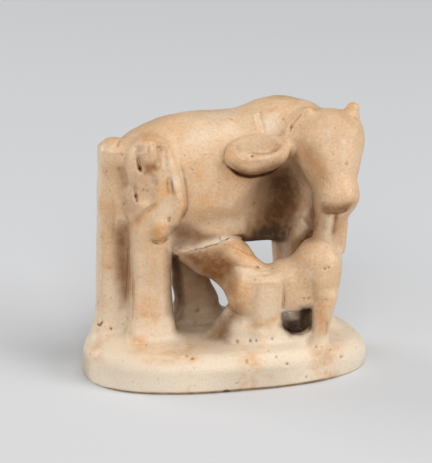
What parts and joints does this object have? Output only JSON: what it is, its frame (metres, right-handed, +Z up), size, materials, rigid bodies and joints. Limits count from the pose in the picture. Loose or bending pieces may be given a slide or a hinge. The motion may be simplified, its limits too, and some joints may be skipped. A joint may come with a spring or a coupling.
{
  "type": "animal sculpture",
  "caption": "Carved marble group of a standing cow that turns to lick her kneeling, suckling calf, with an oval base left in the same stone.",
  "frame": {"origin": "centre of the base's footprint on its flat underside", "axes": "+X along the base from the cow's tail to her head, -Y to the side her head turns to, +Z up"},
  "size_m": [0.104, 0.0574, 0.0971],
  "materials": {
    "marble": "worn, honey-toned white marble with brown dirt in the crevices"
  },
  "bodies": {
    "root": {"cow_and_calf_group": "marble"}
  },
  "joints": []
}
